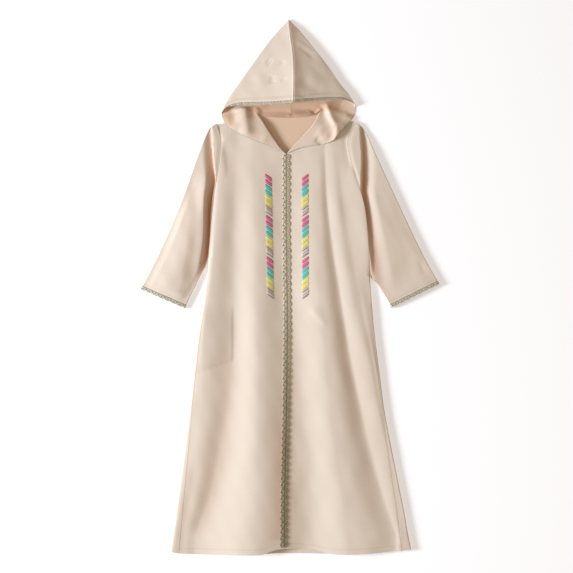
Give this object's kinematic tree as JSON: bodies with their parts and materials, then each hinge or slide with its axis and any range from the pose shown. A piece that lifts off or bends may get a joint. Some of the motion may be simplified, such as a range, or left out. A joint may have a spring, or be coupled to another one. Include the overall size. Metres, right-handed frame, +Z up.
{
  "type": "hooded abaya",
  "caption": "Child's hooded long-sleeved abaya in smooth crepe, lace along the closed front, hood and cuffs, two stitched bands on the chest, laid flat face up.",
  "frame": {"origin": "middle of the bounding box in plan, on the surface that the garment lies on", "axes": "+Z up out of the surface, towards the garment's front; +Y from hem to hood; +X towards the wearer's left"},
  "size_m": [0.7056, 1.2844, 0.0345],
  "materials": {
    "crepe": "smooth crepe with a soft sheen, cream peach",
    "pocketing": "matt pocket cloth",
    "lace": "matt scalloped lace, grey olive",
    "stitching": "glossy satin stitch in pink, teal, yellow and grey"
  },
  "bodies": {
    "root": {"back": "crepe", "pocket_bag": "pocketing", "front_right": "crepe", "front_left": "crepe", "sleeve_right": "crepe", "sleeve_left": "crepe", "hood_right": "crepe", "hood_left": "crepe", "cuff_trim_right": "lace", "cuff_trim_left": "lace", "hood_trim_right": "lace", "hood_trim_left": "lace", "placket_trim_right": "lace", "placket_trim_left": "lace", "embroidery_right": "stitching", "embroidery_left": "stitching"}
  },
  "joints": []
}
